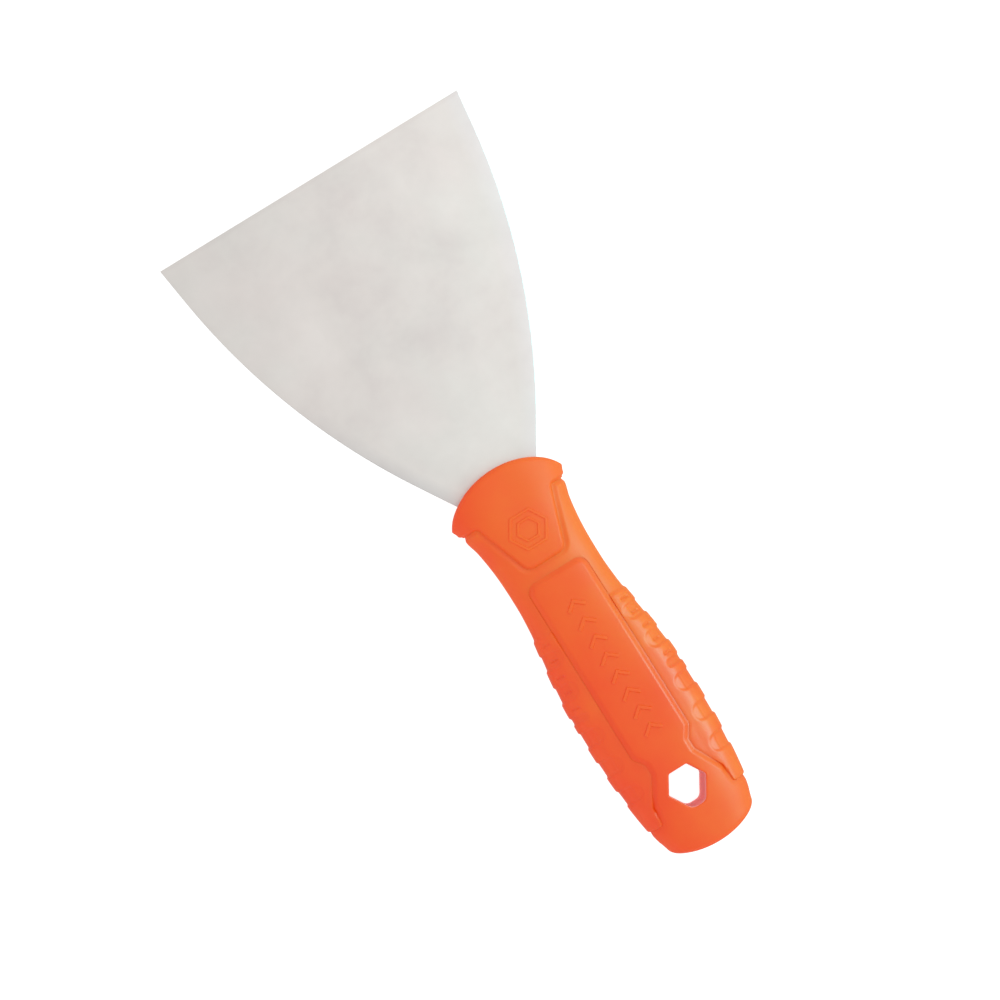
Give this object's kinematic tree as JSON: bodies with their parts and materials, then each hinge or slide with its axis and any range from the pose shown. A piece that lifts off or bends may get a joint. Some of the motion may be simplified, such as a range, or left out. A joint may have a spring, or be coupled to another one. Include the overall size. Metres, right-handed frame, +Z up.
{
  "type": "flexible putty knife",
  "caption": "Putty knife: a flexible steel blade, flared to a straight edge, in a moulded plastic handle with a grip sleeve, raised panels and a hexagonal hanging hole.",
  "frame": {"origin": "Bottom centre of the whole tool: below the middle of its length, on the plane the handle's lower flat face rests on.", "axes": "+X across the blade's width, +Y along the tool from the butt towards the working edge, +Z up, normal to the blade."},
  "size_m": [0.1016, 0.2256, 0.02],
  "materials": {
    "blade_steel": "satin ground spring steel",
    "handle_plastic": "semi-gloss moulded orange plastic",
    "grip_plastic": "semi-gloss moulded orange plastic, slightly softer than the body"
  },
  "bodies": {
    "handle": {"blade_tang": "blade_steel", "handle_body": "handle_plastic", "grip_overmould": "grip_plastic"},
    "flexing_blade": {"blade": "blade_steel"}
  },
  "joints": [
    {"name": "blade_flex", "type": "hinge", "parent": "handle", "child": "flexing_blade", "pos_m": [0, 0.04575, 0.01], "axis": [1, 0, 0], "range_deg": [-20, 20], "stiffness_Nm_per_rad": 8.4}
  ]
}
